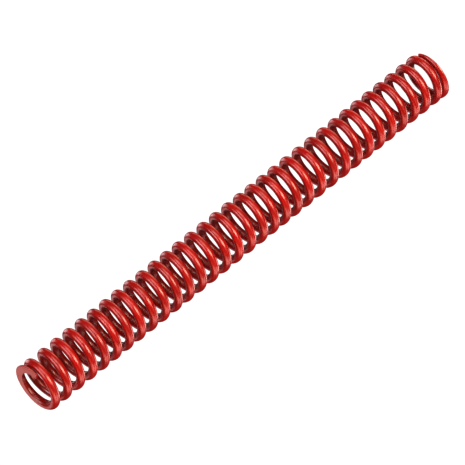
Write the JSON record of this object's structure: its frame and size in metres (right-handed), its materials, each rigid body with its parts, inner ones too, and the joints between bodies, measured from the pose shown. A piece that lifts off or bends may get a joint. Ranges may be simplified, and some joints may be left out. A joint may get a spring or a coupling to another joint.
{
  "type": "coil spring",
  "caption": "Long left-hand helical compression spring of round wire with closed, ground ends and a red paint coat, for a guided brake or suspension mechanism.",
  "frame": {"origin": "centre of the lower ground face, on the axis of the coils", "axes": "+Z along the axis of the coils from the lower ground face to the upper one, +X towards the cut wire tip of the lower end coil"},
  "size_m": [0.0304, 0.0304, 0.3105],
  "materials": {
    "red_paint": "gloss red paint over spring steel wire"
  },
  "bodies": {
    "lower_end_coil": {"lower_end_coil": "red_paint"},
    "active_coil_01": {"active_coil_01": "red_paint"},
    "active_coil_02": {"active_coil_02": "red_paint"},
    "active_coil_03": {"active_coil_03": "red_paint"},
    "active_coil_04": {"active_coil_04": "red_paint"},
    "active_coil_05": {"active_coil_05": "red_paint"},
    "active_coil_06": {"active_coil_06": "red_paint"},
    "active_coil_07": {"active_coil_07": "red_paint"},
    "active_coil_08": {"active_coil_08": "red_paint"},
    "active_coil_09": {"active_coil_09": "red_paint"},
    "active_coil_10": {"active_coil_10": "red_paint"},
    "active_coil_11": {"active_coil_11": "red_paint"},
    "active_coil_12": {"active_coil_12": "red_paint"},
    "active_coil_13": {"active_coil_13": "red_paint"},
    "active_coil_14": {"active_coil_14": "red_paint"},
    "active_coil_15": {"active_coil_15": "red_paint"},
    "active_coil_16": {"active_coil_16": "red_paint"},
    "active_coil_17": {"active_coil_17": "red_paint"},
    "active_coil_18": {"active_coil_18": "red_paint"},
    "active_coil_19": {"active_coil_19": "red_paint"},
    "active_coil_20": {"active_coil_20": "red_paint"},
    "active_coil_21": {"active_coil_21": "red_paint"},
    "active_coil_22": {"active_coil_22": "red_paint"},
    "active_coil_23": {"active_coil_23": "red_paint"},
    "active_coil_24": {"active_coil_24": "red_paint"},
    "active_coil_25": {"active_coil_25": "red_paint"},
    "active_coil_26": {"active_coil_26": "red_paint"},
    "active_coil_27": {"active_coil_27": "red_paint"},
    "active_coil_28": {"active_coil_28": "red_paint"},
    "active_coil_29": {"active_coil_29": "red_paint"},
    "active_coil_30": {"active_coil_30": "red_paint"},
    "active_coil_31": {"active_coil_31": "red_paint"},
    "upper_end_coil": {"upper_end_coil": "red_paint"}
  },
  "joints": [
    {"name": "compression", "type": "slide", "parent": "lower_end_coil", "child": "upper_end_coil", "axis": [0, 0, -1], "range_m": [0, 0.11], "stiffness_N_per_m": 11760},
    {"name": "coil_01_slide", "type": "slide", "parent": "lower_end_coil", "child": "active_coil_01", "axis": [0, 0, -1], "range_m": [0, 0.00165]},
    {"name": "coil_02_slide", "type": "slide", "parent": "lower_end_coil", "child": "active_coil_02", "axis": [0, 0, -1], "range_m": [0, 0.00521]},
    {"name": "coil_03_slide", "type": "slide", "parent": "lower_end_coil", "child": "active_coil_03", "axis": [0, 0, -1], "range_m": [0, 0.00879]},
    {"name": "coil_04_slide", "type": "slide", "parent": "lower_end_coil", "child": "active_coil_04", "axis": [0, 0, -1], "range_m": [0, 0.0124]},
    {"name": "coil_05_slide", "type": "slide", "parent": "lower_end_coil", "child": "active_coil_05", "axis": [0, 0, -1], "range_m": [0, 0.01582]},
    {"name": "coil_06_slide", "type": "slide", "parent": "lower_end_coil", "child": "active_coil_06", "axis": [0, 0, -1], "range_m": [0, 0.01921]},
    {"name": "coil_07_slide", "type": "slide", "parent": "lower_end_coil", "child": "active_coil_07", "axis": [0, 0, -1], "range_m": [0, 0.02266]},
    {"name": "coil_08_slide", "type": "slide", "parent": "lower_end_coil", "child": "active_coil_08", "axis": [0, 0, -1], "range_m": [0, 0.02631]},
    {"name": "coil_09_slide", "type": "slide", "parent": "lower_end_coil", "child": "active_coil_09", "axis": [0, 0, -1], "range_m": [0, 0.0301]},
    {"name": "coil_10_slide", "type": "slide", "parent": "lower_end_coil", "child": "active_coil_10", "axis": [0, 0, -1], "range_m": [0, 0.03408]},
    {"name": "coil_11_slide", "type": "slide", "parent": "lower_end_coil", "child": "active_coil_11", "axis": [0, 0, -1], "range_m": [0, 0.03796]},
    {"name": "coil_12_slide", "type": "slide", "parent": "lower_end_coil", "child": "active_coil_12", "axis": [0, 0, -1], "range_m": [0, 0.04151]},
    {"name": "coil_13_slide", "type": "slide", "parent": "lower_end_coil", "child": "active_coil_13", "axis": [0, 0, -1], "range_m": [0, 0.04483]},
    {"name": "coil_14_slide", "type": "slide", "parent": "lower_end_coil", "child": "active_coil_14", "axis": [0, 0, -1], "range_m": [0, 0.04814]},
    {"name": "coil_15_slide", "type": "slide", "parent": "lower_end_coil", "child": "active_coil_15", "axis": [0, 0, -1], "range_m": [0, 0.05145]},
    {"name": "coil_16_slide", "type": "slide", "parent": "lower_end_coil", "child": "active_coil_16", "axis": [0, 0, -1], "range_m": [0, 0.05485]},
    {"name": "coil_17_slide", "type": "slide", "parent": "lower_end_coil", "child": "active_coil_17", "axis": [0, 0, -1], "range_m": [0, 0.0585]},
    {"name": "coil_18_slide", "type": "slide", "parent": "lower_end_coil", "child": "active_coil_18", "axis": [0, 0, -1], "range_m": [0, 0.06236]},
    {"name": "coil_19_slide", "type": "slide", "parent": "lower_end_coil", "child": "active_coil_19", "axis": [0, 0, -1], "range_m": [0, 0.06609]},
    {"name": "coil_20_slide", "type": "slide", "parent": "lower_end_coil", "child": "active_coil_20", "axis": [0, 0, -1], "range_m": [0, 0.06966]},
    {"name": "coil_21_slide", "type": "slide", "parent": "lower_end_coil", "child": "active_coil_21", "axis": [0, 0, -1], "range_m": [0, 0.07316]},
    {"name": "coil_22_slide", "type": "slide", "parent": "lower_end_coil", "child": "active_coil_22", "axis": [0, 0, -1], "range_m": [0, 0.07666]},
    {"name": "coil_23_slide", "type": "slide", "parent": "lower_end_coil", "child": "active_coil_23", "axis": [0, 0, -1], "range_m": [0, 0.08025]},
    {"name": "coil_24_slide", "type": "slide", "parent": "lower_end_coil", "child": "active_coil_24", "axis": [0, 0, -1], "range_m": [0, 0.08369]},
    {"name": "coil_25_slide", "type": "slide", "parent": "lower_end_coil", "child": "active_coil_25", "axis": [0, 0, -1], "range_m": [0, 0.08702]},
    {"name": "coil_26_slide", "type": "slide", "parent": "lower_end_coil", "child": "active_coil_26", "axis": [0, 0, -1], "range_m": [0, 0.09035]},
    {"name": "coil_27_slide", "type": "slide", "parent": "lower_end_coil", "child": "active_coil_27", "axis": [0, 0, -1], "range_m": [0, 0.0937]},
    {"name": "coil_28_slide", "type": "slide", "parent": "lower_end_coil", "child": "active_coil_28", "axis": [0, 0, -1], "range_m": [0, 0.09708]},
    {"name": "coil_29_slide", "type": "slide", "parent": "lower_end_coil", "child": "active_coil_29", "axis": [0, 0, -1], "range_m": [0, 0.10044]},
    {"name": "coil_30_slide", "type": "slide", "parent": "lower_end_coil", "child": "active_coil_30", "axis": [0, 0, -1], "range_m": [0, 0.10381]},
    {"name": "coil_31_slide", "type": "slide", "parent": "lower_end_coil", "child": "active_coil_31", "axis": [0, 0, -1], "range_m": [0, 0.1073]}
  ],
  "couplings": [
    {"joint": "coil_01_slide", "follows": "compression", "ratio": 0.01499},
    {"joint": "coil_02_slide", "follows": "compression", "ratio": 0.04736},
    {"joint": "coil_03_slide", "follows": "compression", "ratio": 0.07983},
    {"joint": "coil_04_slide", "follows": "compression", "ratio": 0.1127},
    {"joint": "coil_05_slide", "follows": "compression", "ratio": 0.14373},
    {"joint": "coil_06_slide", "follows": "compression", "ratio": 0.17455},
    {"joint": "coil_07_slide", "follows": "compression", "ratio": 0.20592},
    {"joint": "coil_08_slide", "follows": "compression", "ratio": 0.2391},
    {"joint": "coil_09_slide", "follows": "compression", "ratio": 0.27363},
    {"joint": "coil_10_slide", "follows": "compression", "ratio": 0.30973},
    {"joint": "coil_11_slide", "follows": "compression", "ratio": 0.34509},
    {"joint": "coil_12_slide", "follows": "compression", "ratio": 0.37728},
    {"joint": "coil_13_slide", "follows": "compression", "ratio": 0.40753},
    {"joint": "coil_14_slide", "follows": "compression", "ratio": 0.43755},
    {"joint": "coil_15_slide", "follows": "compression", "ratio": 0.46765},
    {"joint": "coil_16_slide", "follows": "compression", "ratio": 0.4986},
    {"joint": "coil_17_slide", "follows": "compression", "ratio": 0.53177},
    {"joint": "coil_18_slide", "follows": "compression", "ratio": 0.56686},
    {"joint": "coil_19_slide", "follows": "compression", "ratio": 0.60073},
    {"joint": "coil_20_slide", "follows": "compression", "ratio": 0.63321},
    {"joint": "coil_21_slide", "follows": "compression", "ratio": 0.665},
    {"joint": "coil_22_slide", "follows": "compression", "ratio": 0.69683},
    {"joint": "coil_23_slide", "follows": "compression", "ratio": 0.72951},
    {"joint": "coil_24_slide", "follows": "compression", "ratio": 0.76074},
    {"joint": "coil_25_slide", "follows": "compression", "ratio": 0.79108},
    {"joint": "coil_26_slide", "follows": "compression", "ratio": 0.82136},
    {"joint": "coil_27_slide", "follows": "compression", "ratio": 0.85176},
    {"joint": "coil_28_slide", "follows": "compression", "ratio": 0.88249},
    {"joint": "coil_29_slide", "follows": "compression", "ratio": 0.91309},
    {"joint": "coil_30_slide", "follows": "compression", "ratio": 0.9437},
    {"joint": "coil_31_slide", "follows": "compression", "ratio": 0.97543}
  ]
}
